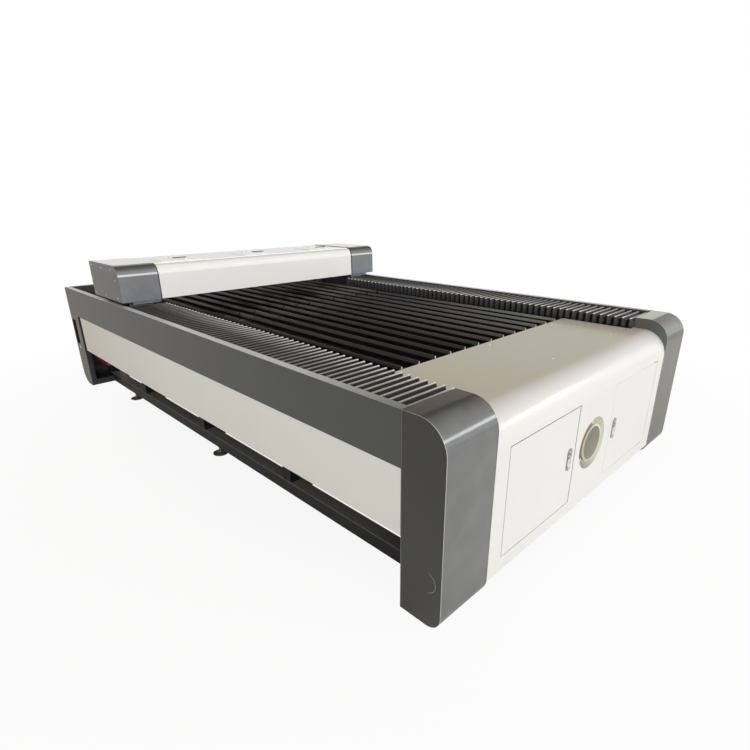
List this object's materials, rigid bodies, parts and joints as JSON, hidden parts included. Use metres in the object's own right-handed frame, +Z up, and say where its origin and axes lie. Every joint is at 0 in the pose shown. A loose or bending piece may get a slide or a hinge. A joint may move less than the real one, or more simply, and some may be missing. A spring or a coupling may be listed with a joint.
{
  "type": "carbon dioxide laser engraving machine",
  "caption": "Flatbed laser engraver and cutter: a bridge with a laser tube and a focusing head travels over a fixed blade bed between bellows-covered guides.",
  "frame": {"origin": "middle of the footprint, on the floor", "axes": "+X across the machine, to the right seen from the door end; +Y along it towards the far end; +Z up"},
  "size_m": [2, 3.547, 1.03],
  "materials": {
    "frame_black": "satin black enamel",
    "blade_black": "black anodised, dusty",
    "zinc": "zinc plated",
    "ground_steel": "ground",
    "duct_grey": "galvanised",
    "grey_powder": "fine-textured powder coat",
    "white_powder": "satin powder coat",
    "lock_chrome": "plated",
    "bellows_cloth": "coated cloth",
    "belt_rubber": "matt",
    "wire_red": "satin",
    "motor_black": "satin",
    "aluminium": "milled",
    "tube_glass": "clear",
    "brass": "turned"
  },
  "bodies": {
    "base": {"long_tubes": "frame_black", "cross_tubes": "frame_black", "posts": "frame_black", "levelling_feet": "zinc", "slat_bars": "frame_black", "bed_slats": "blade_black", "scrap_pan": "frame_black", "exhaust_duct": "duct_grey", "exhaust_collar": "duct_grey", "band_left": "grey_powder", "band_right": "grey_powder", "skirt_left": "white_powder", "skirt_right": "white_powder", "cap_left": "grey_powder", "cap_right": "grey_powder", "front_cover": "white_powder", "cabinet": "frame_black", "control_panel": "zinc", "door_hinges": "zinc", "panel_screws": "zinc", "rear_legs": "grey_powder", "leg_wiring": "wire_red", "rear_band": "grey_powder", "rear_skirt": "white_powder", "guide_rails": "ground_steel", "y_belts": "belt_rubber", "y_bearings": "ground_steel", "y_motor": "motor_black", "bellows_front": "bellows_cloth", "bellows_rear": "bellows_cloth"},
    "gantry": {"gantry_beam": "aluminium", "gantry_cover": "white_powder", "gantry_end_left": "grey_powder", "gantry_end_right": "grey_powder", "carriages": "aluminium", "guide_blocks": "ground_steel", "laser_tube": "tube_glass", "tube_holders": "frame_black", "mirror_mounts": "aluminium", "x_rail": "ground_steel", "x_belt": "belt_rubber", "x_motor": "motor_black"},
    "head": {"head_carriage": "aluminium"},
    "focus": {"focus_tube": "brass"},
    "door_left": {"door_left": "white_powder", "lock_left": "lock_chrome"},
    "door_right": {"door_right": "white_powder", "lock_right": "lock_chrome"},
    "paddle_left": {"paddle_left": "lock_chrome"},
    "paddle_right": {"paddle_right": "lock_chrome"},
    "button_left": {"button_left": "lock_chrome"},
    "button_right": {"button_right": "lock_chrome"},
    "hatch_left": {"hatch_left": "white_powder"},
    "hatch_middle": {"hatch_middle": "white_powder"},
    "hatch_right": {"hatch_right": "white_powder"},
    "y_shaft": {"y_shaft": "ground_steel"},
    "y_idler_left": {"y_idler_left": "zinc"},
    "y_idler_right": {"y_idler_right": "zinc"},
    "x_drive_pulley": {"x_drive_pulley": "zinc"},
    "x_idler_pulley": {"x_idler_pulley": "zinc"}
  },
  "joints": [
    {"name": "gantry_travel", "type": "slide", "parent": "base", "child": "gantry", "axis": [0, 1, 0], "range_m": [-1.95, 0.55], "deforming": ["bellows_front", "bellows_rear"]},
    {"name": "head_travel", "type": "slide", "parent": "gantry", "child": "head", "axis": [1, 0, 0], "range_m": [-0.65, 0.65]},
    {"name": "head_focus", "type": "slide", "parent": "head", "child": "focus", "axis": [0, 0, 1], "range_m": [-0.05, 0]},
    {"name": "door_left_hinge", "type": "hinge", "parent": "base", "child": "door_left", "pos_m": [-0.643, -1.758, 0.245], "axis": [0, 0, -1], "range_deg": [0, 100]},
    {"name": "paddle_left_hinge", "type": "hinge", "parent": "door_left", "child": "paddle_left", "pos_m": [-0.213, -1.768, 0.361], "axis": [1, 0, 0], "range_deg": [0, 40]},
    {"name": "button_left_press", "type": "slide", "parent": "door_left", "child": "button_left", "axis": [0, 1, 0], "range_m": [0, 0.004], "stiffness_N_per_m": 300},
    {"name": "door_right_hinge", "type": "hinge", "parent": "base", "child": "door_right", "pos_m": [0.643, -1.758, 0.245], "axis": [0, 0, 1], "range_deg": [0, 100]},
    {"name": "paddle_right_hinge", "type": "hinge", "parent": "door_right", "child": "paddle_right", "pos_m": [0.213, -1.768, 0.361], "axis": [1, 0, 0], "range_deg": [0, 40]},
    {"name": "button_right_press", "type": "slide", "parent": "door_right", "child": "button_right", "axis": [0, 1, 0], "range_m": [0, 0.004], "stiffness_N_per_m": 300},
    {"name": "hatch_left_hinge", "type": "hinge", "parent": "gantry", "child": "hatch_left", "pos_m": [-0.57, 0.902, 1.017], "axis": [-1, 0, 0], "range_deg": [0, 105]},
    {"name": "hatch_middle_hinge", "type": "hinge", "parent": "gantry", "child": "hatch_middle", "pos_m": [-0.005, 0.902, 1.017], "axis": [-1, 0, 0], "range_deg": [0, 105]},
    {"name": "hatch_right_hinge", "type": "hinge", "parent": "gantry", "child": "hatch_right", "pos_m": [0.55, 0.902, 1.017], "axis": [-1, 0, 0], "range_deg": [0, 105]},
    {"name": "y_shaft_spin", "type": "hinge", "parent": "base", "child": "y_shaft", "pos_m": [0, 1.705, 0.666], "axis": [1, 0, 0], "range_deg": [-2000, 7000]},
    {"name": "y_idler_left_spin", "type": "hinge", "parent": "base", "child": "y_idler_left", "pos_m": [-0.822, -1.56, 0.666], "axis": [1, 0, 0], "range_deg": [-2000, 7000]},
    {"name": "y_idler_right_spin", "type": "hinge", "parent": "base", "child": "y_idler_right", "pos_m": [0.822, -1.56, 0.666], "axis": [1, 0, 0], "range_deg": [-2000, 7000]},
    {"name": "x_drive_spin", "type": "hinge", "parent": "gantry", "child": "x_drive_pulley", "pos_m": [-0.745, 0.768, 0.855], "axis": [0, 1, 0], "range_deg": [-2700, 2700]},
    {"name": "x_idler_spin", "type": "hinge", "parent": "gantry", "child": "x_idler_pulley", "pos_m": [0.745, 0.768, 0.855], "axis": [0, 1, 0], "range_deg": [-2700, 2700]}
  ],
  "couplings": [
    {"joint": "y_shaft_spin", "follows": "gantry_travel", "rad_per_m": -62.5},
    {"joint": "y_idler_left_spin", "follows": "gantry_travel", "rad_per_m": -62.5},
    {"joint": "y_idler_right_spin", "follows": "gantry_travel", "rad_per_m": -62.5},
    {"joint": "x_drive_spin", "follows": "head_travel", "rad_per_m": 71.429},
    {"joint": "x_idler_spin", "follows": "head_travel", "rad_per_m": 71.429}
  ]
}
